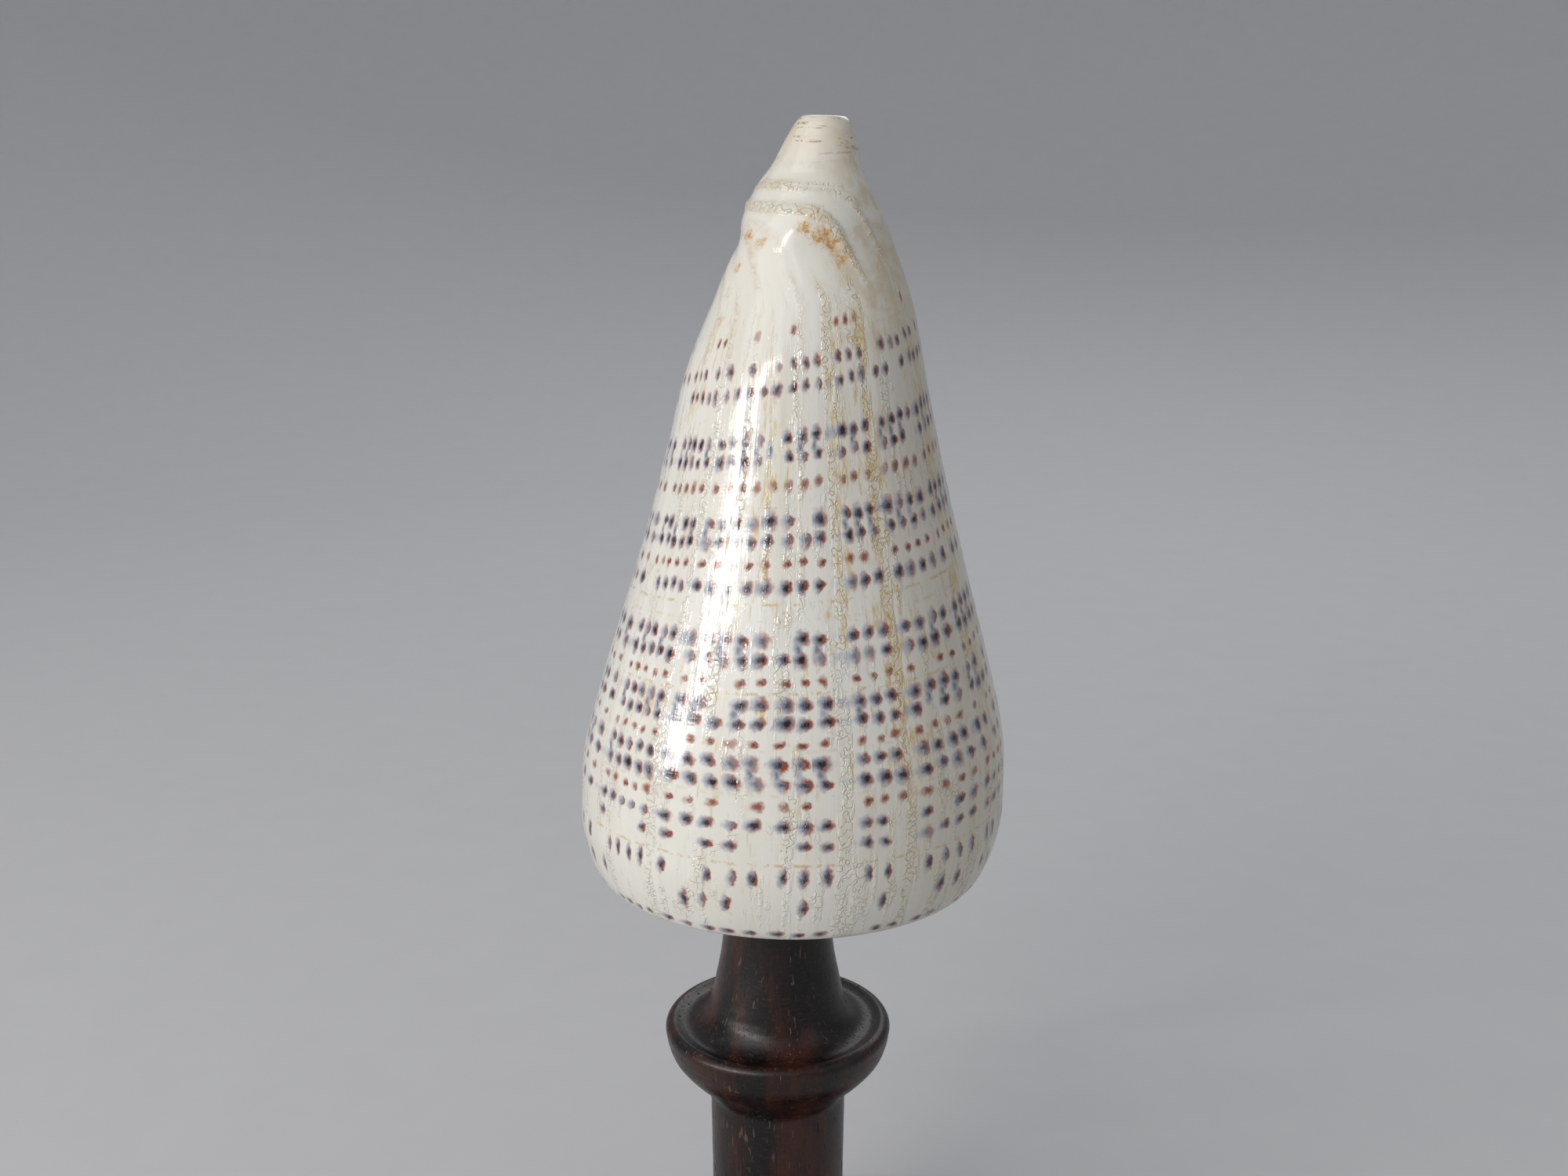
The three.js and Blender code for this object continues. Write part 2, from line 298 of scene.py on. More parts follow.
# %% Rows and columns of the pattern
# Rows as [height at the lip, height of a cell, size of the spots, share of cells with one,
# side on which the spots of a pair join].
ROWS = [(1.6, 2.2, 0.6, 0.85, 0), (7.7, 5.2, 0.6, 0.75, 0), (13.4, 5.0, 0.65, 0.8, 0),
        (19.3, 3.3, 0.6, 0.6, 0), (23.0, 3.3, 0.7, 0.85, 0), (26.7, 3.3, 0.22, 0.9, 0),
        (30.4, 3.3, 1.0, 0.97, 1), (33.8, 3.3, 1.0, 0.95, -1), (37.1, 3.2, 0.2, 0.92, 0),
        (40.5, 3.2, 1.0, 0.95, 1), (43.7, 3.2, 1.0, 0.93, -1), (47.5, 3.4, 0.2, 0.85, 0),
        (51.3, 3.2, 1.0, 0.95, 1), (54.6, 3.2, 1.0, 0.93, -1), (63.5, 3.8, 0.9, 0.85, 0),
        (67.4, 3.3, 0.25, 0.9, 0), (71.4, 3.3, 0.9, 0.95, 1), (74.7, 3.3, 1.0, 0.95, -1),
        (80.9, 3.8, 0.4, 0.9, 0), (85.5, 3.3, 0.85, 0.93, 1), (88.8, 3.3, 0.95, 0.95, -1),
        (97.4, 3.8, 0.6, 0.85, 0), (101.4, 3.8, 0.55, 0.8, 0), (107.2, 3.8, 0.25, 0.35, 0)]
# Bursts of columns as [angle of the first column, number of columns, degrees between them].
BURSTS = [(-56, 5, 4.3), (-31.5, 5, 6.0), (-0.5, 3, 5.6), (20.8, 3, 4.9), (38.3, 4, 5.6)]


def column_angles():
    """The listed bursts, and seeded ones round the rest of the last whorl and a half."""
    draw = np.random.default_rng(11)
    bursts = list(BURSTS)
    for low, high in ((-420, -64), (63, 160)):
        angle = low
        while angle < high:
            columns = int(draw.integers(2, 6))
            step = draw.uniform(4.6, 6.0)
            bursts.append((angle, min(columns, int((high - angle) / step) + 1), step))
            angle += columns * step + draw.uniform(1.5, 6.5)
    return sorted((first + i * step, step) for first, number, step in bursts
                  for i in range(number))


def cell_coordinate(middles, widths, x):
    """Whole numbers at the middles, slope 1 / width inside a cell, level between cells."""
    middles, widths = np.array(middles), np.array(widths)
    gaps = np.diff(middles)
    half = np.minimum(widths, np.minimum(np.append(gaps, 99), np.insert(gaps, 0, 99))) / 2
    ends = stacked(middles - half, middles + half).ravel()
    share = half / widths
    count = np.arange(len(middles))
    numbers = stacked(count - share, count + share).ravel()
    return np.interp(x, ends, numbers, left=-0.5, right=len(middles) - 0.5)


columns, column_steps = np.array(column_angles()).T
rows = np.array(ROWS)
print(len(rows), "rows and", len(columns), "columns of spots")

# %% [markdown]
# ## What the material reads
# Each point of the skin carries nine values in three named vectors: its cell in the pattern and
# whether it is outside, its growth stage, height and depth, and its pitting, rust and dirt.

# %% Values for the material
# Rust stains as [angle, height, reach in mm, strength].
RUST = [(-2, 112.6, 2.2, 0.9), (11, 111.4, 2.8, 1.0), (18, 110.0, 2.4, 1.0), (26, 107.6, 2.4, 1.0),
        (-51, 110.8, 2.2, 0.9), (-35, 109.8, 1.9, 0.8), (-52, 105.8, 2.0, 0.8),
        (-51.5, 101.5, 2.2, 0.6), (-49, 97.5, 1.8, 0.6), (12.2, 92.5, 1.5, 0.9),
        (170, 109, 3.0, 0.9), (-140, 104, 2.5, 0.8)]
# Bands where more dirt stayed, as [stage, half width in degrees, lowest, highest].
GRIME = [(-9, 7, 62, 104), (18, 7, 55, 100), (33, 6, 30, 104), (-52, 10, 92, 112),
         (70, 12, 20, 100)]


def patch_values(growth, height, place, outside):
    """Coordinates for the materials at every point of a patch."""
    at_lip, angle = height_at_lip(growth, height), growth_angle(growth, height)
    radius = np.maximum(coil_radius(growth, height), LEAST_RADIUS)
    stage = growth_stage(angle, height)
    drift = 0.7 * wander(41, at_lip, 7.0) + 0.8 * wander(42, at_lip + 0.3 * stage, 11.0)
    column = cell_coordinate(columns, column_steps, stage + drift)
    row = cell_coordinate(rows[:, 0], rows[:, 1], at_lip)
    pitting = coarse_lines(angle, height, radius, stage)[1]
    rust = 0.0
    for where, level, reach, strength in RUST:
        off = np.hypot(np.radians(angle - where) * radius, height - level)
        rust = np.maximum(rust, strength * smoothstep(reach * 1.3, 0, off))
    grime = 0.4 + 0.4 * wander(31, stage, 9.0) + 0.25 * wander(32, at_lip, 17.0)
    for where, wide, low, high in GRIME:
        band = smoothstep(wide, 0, np.abs(stage - where))
        level = smoothstep(low - 8, low + 4, at_lip) * smoothstep(high + 8, high - 4, at_lip)
        grime = grime + 1.1 * band * level
    return {"cell": stacked(column, row, outside), "growth": stacked(stage, at_lip, place),
            "wear": stacked(pitting, rust, grime)}


print(len(RUST), "rust stains and", len(GRIME), "dirty bands")

# %% [markdown]
# ## Patches and welding
# The skin is made of rectangular patches of points that share their edges. A patch's values are
# kept on the corners of its faces, so that two patches can meet in one row of vertices and
# still have values of their own.

# %% Build one closed mesh from patches
WELD_STEP = 0.002  # points that fall on the same step, in mm, become one


def grid_quads(shape, start):
    number = start + np.arange(shape[0] * shape[1]).reshape(shape)
    return stacked(number[:-1, :-1], number[1:, :-1],
                   number[1:, 1:], number[:-1, 1:]).reshape(-1, 4).tolist()


def weld(name, patches, fans=()):
    """Joins patches of (points, values) and faces of point numbers into one mesh."""
    points = np.concatenate([points.reshape(-1, 3) for points, _ in patches])
    values = {key: np.concatenate([found[key].reshape(-1, 3) for _, found in patches])
              for key in patches[0][1]}
    steps = (points / WELD_STEP + 0.13).round().astype(np.int64)
    _, first, merged = np.unique(steps, axis=0, return_index=True, return_inverse=True)
    merged = merged.ravel().tolist()
    drafts, start = [], 0
    for grid, _ in patches:
        drafts += grid_quads(grid.shape[:2], start)
        start += grid.shape[0] * grid.shape[1]
    # Of corners that were merged one stays, and a face with fewer than three is left out.
    faces = []
    for draft in drafts + list(fans):
        face = [corner for corner, after in zip(draft, [*draft[1:], draft[0]])
                if merged[corner] != merged[after]]
        if len({merged[corner] for corner in face}) == len(face) > 2:
            faces.append(face)
    corners = [corner for face in faces for corner in face]
    mesh = bpy.data.meshes.new(name)
    mesh.from_pydata((points[first] * MM).tolist(), [],
                     [[merged[corner] for corner in face] for face in faces])
    for key, found in values.items():
        layer = mesh.attributes.new(key, "FLOAT_VECTOR", "CORNER")
        layer.data.foreach_set("vector", found[corners].astype(np.float32).ravel())
    mesh.validate(clean_customdata=False)
    mesh.update()
    return mesh


def add_object(name, data):
    thing = bpy.data.objects.new(name, data)
    bpy.context.scene.collection.objects.link(thing)
    return thing


def add_piece(name, mesh, body="root"):
    piece = add_object(name, mesh)
    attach(piece, body)
    return piece


print("patches are welded in steps of", WELD_STEP, "mm")

# %% [markdown]
# ## The shell's skin
# The shell is one closed skin of four grids: the flank of the last whorl, the flat spire down
# to the apex, the foot of the lip, and the mouth. The mouth's lines run from the lip's outer
# edge along the inner wall, round the end of the pocket, and back along the whorl inside. The
# rows lie closer together where the shape turns quickly, at the shoulder and at the tip.

# %% Rows and columns of the grids
RAMP_ROWS = 6
SPIRE_WHORLS = 6
TURN_STEPS = 360
# [height, distance between rows there]
ROW_SPACING = [(0, 0.2), (2, 0.5), (8, 1.1), (92, 1.1), (102, 0.5), (127, 0.5),
               (128.8, 0.25), (129.6, 0.12), (130, 0.06)]

ladder = np.linspace(0, TIP, 4001)
rungs = np.cumsum(1 / curve_at(ROW_SPACING, ladder)) * (ladder[1] - ladder[0])
FLANK_ROWS = int(rungs[-1])
row_levels = np.interp(np.linspace(rungs[0], rungs[-1], FLANK_ROWS + 1), rungs, ladder)
row_levels[[0, -1]] = 0.0, TIP

edge_steps = np.array([0, 0.12, 0.3, 0.55, 0.85]) / (2 * np.pi * 39)
turn_steps = np.append(np.linspace(0, 1, TURN_STEPS + 1)[:-2], 1 - edge_steps[::-1])
spire_steps = np.unique(turn_steps[:, None] - np.arange(SPIRE_WHORLS))
pocket_steps = np.append(1 - edge_steps, np.linspace(1, 1 - POCKET, 46)[1:])
print(FLANK_ROWS, "rows,", len(turn_steps), "columns and", len(pocket_steps), "steps inwards")

# %% [markdown]
# The lip and the tip have rounded margins, because a polished edge catches the light. Both
# faces of the wall close in on its middle there, each by a quarter circle.

# %% Points of the skin
def row_height(row, growth):
    """Rows follow the coil low down and lie level at the tip."""
    height = row_levels[row]
    level = smoothstep(60, 126, height)
    return APEX + (height - APEX) * coil_scale(growth) ** (1 - level)


def wall_at(height):
    return LIP_WALL + (TIP_WALL - LIP_WALL) * smoothstep(60, TIP, height)


def margins(growth, height):
    """How far the outer and the inner face close in: quarter circles at the lip and the tip."""
    wall = wall_at(height)
    to_lip = (1 - growth) * 2 * np.pi * flank_radius(height)
    lip = rounding(-wall / 2, 0, -to_lip) * smoothstep(0, 3, height)
    tip = 1 - 0.78 * rounding(-1.3, 0, height - TIP)
    return wall * (1 - (1 - 0.5 * lip) * tip), wall * 0.5 * lip * tip


def outer_point(growth, height):
    """The flank with its rounded margins and its relief; a whorl inside has only the tip's."""
    wrapped = 0.3 * rounding(-0.5, 0, height - TIP)
    inset = np.where(growth < -1e-9, wrapped, margins(growth, height)[0])
    return flank_point(growth, height, inset - relief(growth, height))


def ramp_point(growth, across):
    """The spire: radius and level shrink together, along a slightly hollow line."""
    scale = coil_scale(growth)
    size = scale * (1 + (across - 1) * (1 - 1 / WHORL))
    turn = np.radians(growth_angle(growth, 0.0))
    hollow = scale * SPIRE_HOLLOW * np.sin(np.pi * across)
    return stacked(EDGE_RADIUS * size * np.sin(turn), -EDGE_RADIUS * size * np.cos(turn),
                   APEX - APEX * size + hollow)


def inner_wall(i, growth):
    """The wall's inner face; the lowest lines blend towards the whorl inside, as a floor."""
    row = np.maximum(i - RAMP_ROWS, 1)
    height = row_height(row, growth)
    wall = flank_point(growth, height, wall_at(height) - margins(growth, height)[1])
    across = np.clip((i - 1) / RAMP_ROWS, 0, 1)[..., None]
    foot = outer_point(growth - 1, row_height(np.ones_like(row), growth - 1))
    sag = FLOOR_SAG * np.sin(np.pi * across)
    return foot + (wall - foot) * across - sag * np.array([0, 0, 1])


def wrapped_point(i, growth):
    row = np.where(i <= 1, i, np.maximum(i - RAMP_ROWS, 1))
    return outer_point(growth - 1, row_height(row, growth - 1))


def outer_edge(i):
    """Up the lip's outer edge from the suture: first along the ramp, then up the flank."""
    one = np.ones(i.shape)
    on_flank = outer_point(one, row_height(np.maximum(i - RAMP_ROWS, 0), one))
    return np.where((i <= RAMP_ROWS)[..., None], ramp_point(one, np.minimum(i / RAMP_ROWS, 1)),
                    on_flank)


print("wall at the lip:", wall_at(20.0), "mm, at the tip:", wall_at(TIP).round(2), "mm")

# %% [markdown]
# Now the grids are filled. The mouth's lines are listed from the top down, so that all faces
# look outwards. The flat tip is one face between the flank's top row and the mouth's top line.

# %% Make the shell
def mouth_patch(lines, growth_in):
    """Each line: the lip's edge, the inner wall inwards, the pocket's end, the way back."""
    i, growth = np.meshgrid(lines, growth_in, indexing="ij")
    inner, wrapped = inner_wall(i, growth), wrapped_point(i, growth)
    end = [inner[:, -1:] + (wrapped[:, -1:] - inner[:, -1:]) * share for share in (1 / 3, 2 / 3)]
    points = np.concatenate([outer_edge(lines)[:, None], inner, *end, wrapped[:, ::-1]], 1)
    height = row_height(np.maximum(i - RAMP_ROWS, 0), growth)
    inside = patch_values(growth, height, 1.0 - growth, 0.0)
    back_height = row_height(np.maximum(i - RAMP_ROWS, 0), growth - 1)
    back = patch_values(growth - 1, back_height, 1.0 - growth, smoothstep(-0.03, 0, growth - 1))
    values = {key: np.concatenate([inside[key][:, :1], inside[key], inside[key][:, -1:],
                                   back[key][:, -1:], back[key][:, ::-1]], 1) for key in inside}
    return points, values


growth, row = np.meshgrid(turn_steps, np.arange(FLANK_ROWS + 1), indexing="ij")
height = row_height(row, growth)
flank = (outer_point(growth, height), patch_values(growth, height, 0.0, 1.0))

growth, across = np.meshgrid(spire_steps, np.linspace(0, 1, RAMP_ROWS + 1), indexing="ij")
angle = growth_angle(growth, 0.0)
ramp_values = {
    "cell": stacked(angle / 11, 0.9 * (across - 0.5) - 3, 1.0),
    "growth": stacked(angle, 8 * (across - 1), 0.0),
    "wear": stacked(0.2, 0.0, 0.6 + 0 * angle),
}
ramp = (ramp_point(growth, across), ramp_values)

i = np.arange(2)
foot_growth = stacked(np.ones(2), np.zeros(2))
foot_values = patch_values(foot_growth, row_height(i[:, None], foot_growth), 0.0, 1.0)
lip_foot = (np.stack([outer_edge(i), wrapped_point(i, np.ones(2))], 1)[::-1],
            {key: found[::-1] for key, found in foot_values.items()})
mouth = mouth_patch(np.arange(FLANK_ROWS + RAMP_ROWS, 0, -1), pocket_steps)
apex = (np.array([[[0, 0, APEX]]]), {key: found[:1, :1] for key, found in ramp_values.items()})

patches = [flank, ramp, lip_foot, mouth, apex]
start = np.cumsum([0] + [p[0].shape[0] * p[0].shape[1] for p in patches])
tip_face = np.concatenate([np.arange(len(turn_steps)) * (FLANK_ROWS + 1) + FLANK_ROWS,
                           start[3] + np.arange(1, mouth[0].shape[1] - 1)])
first_turn = start[1] + np.arange(len(turn_steps)) * (RAMP_ROWS + 1)
cap_rim = [*first_turn, *(start[1] + np.arange(RAMP_ROWS - 1, 0, -1))]
cap = [[start[4], after, here] for here, after in zip(cap_rim, cap_rim[1:] + cap_rim[:1])]
skin_mesh = weld("cone_shell", patches, [tip_face, *cap])
print(len(skin_mesh.vertices), "points and", len(skin_mesh.polygons), "faces")

# %% [markdown]
# The shell is glued to the neck of the stand with a slight lean, so its finished points are
# turned about the Y axis and lifted to the rim's height. The new skin stands for the plain one.

# %% Put the shell in its place
skin_mesh.transform(Matrix.Translation((SHELL_SHIFT * MM, 0, RIM_HEIGHT * MM))
                    @ Matrix.Rotation(SHELL_TILT, 4, "Y"))
skin_mesh.shade_smooth()
skin_mesh.set_sharp_from_angle(angle=math.radians(50))
shell = add_piece("cone_shell", skin_mesh)
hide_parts("shell")
shell_corners = np.array(shell.bound_box) / MM
print("shell, mm:", shell_corners.min(0).round(2), shell_corners.max(0).round(2))

# %% [markdown]
# ## The stand's turnings
# The stand is two turned pieces: a spindle with a dished collar under a slender neck, and a
# round foot. A turning is a profile carried round the axis, so each piece is one grid of
# angle and profile point. The profile follows smooth curves with beads between them.

# %% Profiles and lathe
FOOT_HEIGHT, FOOT_RADIUS = 16.0, 43.0
SEAT = FOOT_HEIGHT + 0.3
COLLAR = RIM_HEIGHT - 33.6
SPIRE_POINT = RIM_HEIGHT + APEX - 0.4
NECK_END = SPIRE_POINT - APEX / EDGE_RADIUS * 9.6 - 0.35


def smooth_profile(points, steps):
    """Curve through all the points, each slope half the step between its two neighbours."""
    place = np.linspace(0, len(points) - 1, steps + 1)
    k = np.minimum(place.astype(int), len(points) - 2)
    before, here, there, after = (ends_doubled(points)[k + n] for n in range(4))
    return cubic((place - k)[:, None], here, there, (there - before) / 2, (after - here) / 2)


def bead(radius, height, size, start, end, steps=14):
    """Arc of a circle about (radius, height), between two angles from the horizontal."""
    angle = np.radians(np.linspace(start, end, steps + 1))
    return stacked(radius + size * np.cos(angle), height + size * np.sin(angle))


def turned_patch(profile, steps=192):
    """Each profile point (radius, height) carried round the axis, from the bottom up."""
    turn = np.linspace(0, 2 * np.pi, steps + 1)[:, None]
    radius, height = np.array(profile).T
    return stacked(radius * np.cos(turn), radius * np.sin(turn), height), {}


spindle_profile = np.concatenate([
    [(0, SEAT - 10), (5.6, SEAT - 10), (6, SEAT - 9.6), (6, SEAT), (13.5, SEAT)],
    smooth_profile([(13.8, SEAT + 0.3), (12.6, SEAT + 8), (12.4, 35), (12.6, COLLAR - 13.2)], 36),
    smooth_profile([(13.2, COLLAR - 11.8), (16.9, COLLAR - 8.2), (19.5, COLLAR - 5),
                    (20.6, COLLAR - 2)], 30),
    bead(19.3, COLLAR, 1.6, -20, 95),
    smooth_profile([(18.5, COLLAR + 1.25), (17.2, COLLAR + 0.95), (15.7, COLLAR + 1.2),
                    (14.3, COLLAR + 2.2), (13.2, COLLAR + 3.6),
                    (12.4, COLLAR + 5.6), (11.3, COLLAR + 10.5), (10.2, COLLAR + 17),
                    (9.6, NECK_END - 1)], 60),
    [(9.45, NECK_END - 0.4), (9.1, NECK_END), (0, SPIRE_POINT)],
])
foot_profile = np.concatenate([
    [(0, 0), (41.6, 0), (42.4, 0.25), (43, 1)],
    bead(40, 4.5, 3, 0, 90),
    smooth_profile([(38, 7.5), (31, 8.6), (23, 11.6), (18.5, 14.4), (16.5, FOOT_HEIGHT - 0.1)], 40),
    [(16.2, FOOT_HEIGHT), (6.3, FOOT_HEIGHT), (6.3, FOOT_HEIGHT - 10), (0, FOOT_HEIGHT - 10)],
])
print("spindle profile:", len(spindle_profile), "points; foot profile:", len(foot_profile))

# %% [markdown]
# A hand turning is never perfect. The tool leaves faint rings, closest on the slender neck, and
# sanding takes a little more here than there, so the rings come and go round the piece.

# %% Make the spindle and the foot
def tool_marks(patch, strength):
    """Moves each point in by a few hundredths of a millimetre: rings that fade in and out."""
    points, values = patch
    x, y, height = np.moveaxis(points, -1, 0)
    radius, turn = np.hypot(x, y), np.arctan2(y, x)
    ring = wander(21, height, 0.9) + 0.6 * wander(22, height, 2.6)
    fade = 0.6 + 0.4 * np.sin(2 * turn + 1.3 * wander(23, height, 9.0))
    inward = strength * (1 + ring * fade) * smoothstep(7, 9, radius)
    shrink = 1 - inward / np.maximum(radius, 1)
    return stacked(x * shrink, y * shrink, height), values


turnings = {}
for name, profile, strength in (("spindle", spindle_profile, 0.035), ("foot", foot_profile, 0.02)):
    mesh = weld("turned_" + name, [tool_marks(turned_patch(profile), strength)])
    mesh.shade_smooth()
    mesh.set_sharp_from_angle(angle=math.radians(40))
    piece = add_piece("turned_" + name, mesh)
    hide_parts(name)
    turnings[name] = piece
    print(name, len(mesh.polygons), "faces")

# %% [markdown]
# ## Building node materials
# Every finish is a small program of nodes. A signal stands for one output of a node and adds,
# subtracts, multiplies and divides like a number, so a formula reads here as it does on paper.
# The last tree in the list is the one being filled.

# %% Node helpers
trees = []


class Signal:
    """One output of a node. Each operator adds a node to the tree that is being filled."""

    def __init__(self, socket):
        self.socket = socket

    def __add__(self, other):
        return maths("ADD", self, other)

    def __sub__(self, other):
        return maths("SUBTRACT", self, other)

    def __rsub__(self, other):
        return maths("SUBTRACT", other, self)

    def __mul__(self, other):
        return maths("MULTIPLY", self, other)

    def __truediv__(self, other):
        return maths("DIVIDE", self, other)

    __radd__ = __add__
    __rmul__ = __mul__


def feed(socket, value):
    """Links a signal to the socket, or sets a plain value on it."""
    if isinstance(value, Signal):
        trees[-1].links.new(value.socket, socket)
    else:
        socket.default_value = value


def new_node(kind, values=(), **settings):
    """Adds a node, sets it up, and feeds its sockets in order, or by name or number."""
    node = trees[-1].nodes.new(kind)
    for name, value in settings.items():
        setattr(node, name, value)
    for socket, value in values.items() if isinstance(values, dict) else enumerate(values):
        feed(node.inputs[socket], value)
    return node


def output_of(output, kind, values=(), **settings):
    """One output of a new node."""
    return Signal(new_node(kind, values, **settings).outputs[output])


def maths(operation, *values):
    return output_of(0, "ShaderNodeMath", values, operation=operation)


def largest(first, second):
    return maths("MAXIMUM", first, second)


def vector_maths(operation, *values):
    output = "Value" if operation == "LENGTH" else "Vector"
    return output_of(output, "ShaderNodeVectorMath", values, operation=operation)


def straight_step(value, low, high, out_low=0.0, out_high=1.0, kind="LINEAR"):
    """Goes from out_low at low to out_high at high, in a straight line."""
    return output_of(0, "ShaderNodeMapRange", (value, low, high, out_low, out_high),
                     interpolation_type=kind)


def soft_step(value, low, high, out_low=0.0, out_high=1.0):
    """The same, but level at both ends."""
    return straight_step(value, low, high, out_low, out_high, "SMOOTHSTEP")


def blend_colour(share, first, second):
    """The first colour where the share is 0, and the second where it is 1."""
    first, second = (colour if isinstance(colour, Signal) else (*colour, 1)
                     for colour in (first, second))
    return output_of(2, "ShaderNodeMix", {0: share, 6: first, 7: second}, data_type="RGBA")


def parts(vector):
    return [Signal(output) for output in new_node("ShaderNodeSeparateXYZ", [vector]).outputs]


def joined(x, y, z=0.0):
    return output_of(0, "ShaderNodeCombineXYZ", (x, y, z))


def noise(place, scale, detail=2.0, roughness=0.5, output="Fac"):
    return output_of(output, "ShaderNodeTexNoise", {
        "Vector": place, "Scale": scale, "Detail": detail, "Roughness": roughness})


def random_in(place):
    """Four random numbers for each place."""
    number, colour = new_node("ShaderNodeTexWhiteNoise", {"Vector": place}).outputs
    split = new_node("ShaderNodeSeparateColor", [Signal(colour)])
    return [Signal(output) for output in (*split.outputs, number)]


def own_values(name):
    """The three values that patch_values stored under this name."""
    return parts(output_of("Vector", "ShaderNodeAttribute", attribute_name=name))


def object_place():
    """The place in the object's frame, in metres."""
    return output_of("Object", "ShaderNodeTexCoord")


def in_millimetres(place):
    return parts(vector_maths("MULTIPLY", place, (1 / MM,) * 3))


def bumped(height, strength, distance):
    """Normals of a surface that rises by the distance, in metres, where the height grows by 1."""
    return output_of(0, "ShaderNodeBump", {
        "Strength": strength, "Distance": distance, "Height": height})


def node_group(name, fill, takes=(), gives=()):
    """A group that takes vectors and gives numbers; fill works the numbers out."""
    group = bpy.data.node_groups.new(name, "ShaderNodeTree")
    for label in takes:
        group.interface.new_socket(label, in_out="INPUT", socket_type="NodeSocketVector")
    for label in gives:
        group.interface.new_socket(label, in_out="OUTPUT", socket_type="NodeSocketFloat")
    trees.append(group)
    given = new_node("NodeGroupInput").outputs
    new_node("NodeGroupOutput", fill(*(Signal(given[label]) for label in takes)))
    trees.pop()
    return group


def use_group(group, **values):
    """The group's outputs by name."""
    node = new_node("ShaderNodeGroup", values, node_tree=group)
    return {output.name: Signal(output) for output in node.outputs}


def make_material(name, fill, *choices):
    """A material whose shader takes, by the sockets' names, what fill gives."""
    material = bpy.data.materials.new(name)
    material.use_nodes = True
    shader = material.node_tree.nodes["Principled BSDF"]
    trees.append(material.node_tree)
    for label, value in fill(*choices).items():
        feed(shader.inputs[label], value)
    trees.pop()
    return material


print("node helpers are ready")

# %% [markdown]
# ## Spots of pigment
# A spot lies in its own cell. Each burst of pigment began faintly, deep in the lime, and ended
# suddenly at full strength. So a spot fades in from its older side as a blue-grey haze, darkens
# to slate and nearly black, and stops short on the younger side in a red-brown fringe. In the
# double rows the haze often joins both spots, and here and there a spot runs into the next.

# %% The group for spots
RAMP_PLACES = 32  # the ramp's length holds this many rows,
RAMP_START = -4  # and its left end stands for this one
SPIRE_ROW = -3


def row_kinds(row):
    """Size, share and joining side of a row, looked up by its number in a stepped ramp."""
    places = row * (1 / RAMP_PLACES) - RAMP_START / RAMP_PLACES
    node = new_node("ShaderNodeValToRGB", [places])
    node.color_ramp.interpolation = "CONSTANT"
    bare = (0.0, 0.0, 0.5, 1)
    steps = [(SPIRE_ROW, (0.9, 0.6, 0.5, 1)), (-1, bare)]
    steps += [(number, (size, share, 0.5 + 0.5 * side, 1))
              for number, (_, _, size, share, side) in enumerate(ROWS)]
    steps.append((len(ROWS), bare))
    stops = node.color_ramp.elements
    for number, colour in steps:
        stop = stops.new((number - RAMP_START - 0.25) / RAMP_PLACES)
        stop.color = colour
    stops.remove(stops[-1])
    size, share, join = parts(Signal(node.outputs[0]))
    return size, share, join * 2.0 - 1.0


def oval(across, along, wide, tall):
    """Fades from 1 in the middle to 0 at the edge of an oval."""
    off = joined(across * (1 / wide), along * (1 / tall))
    return straight_step(vector_maths("LENGTH", off), 1.0, 0.15)


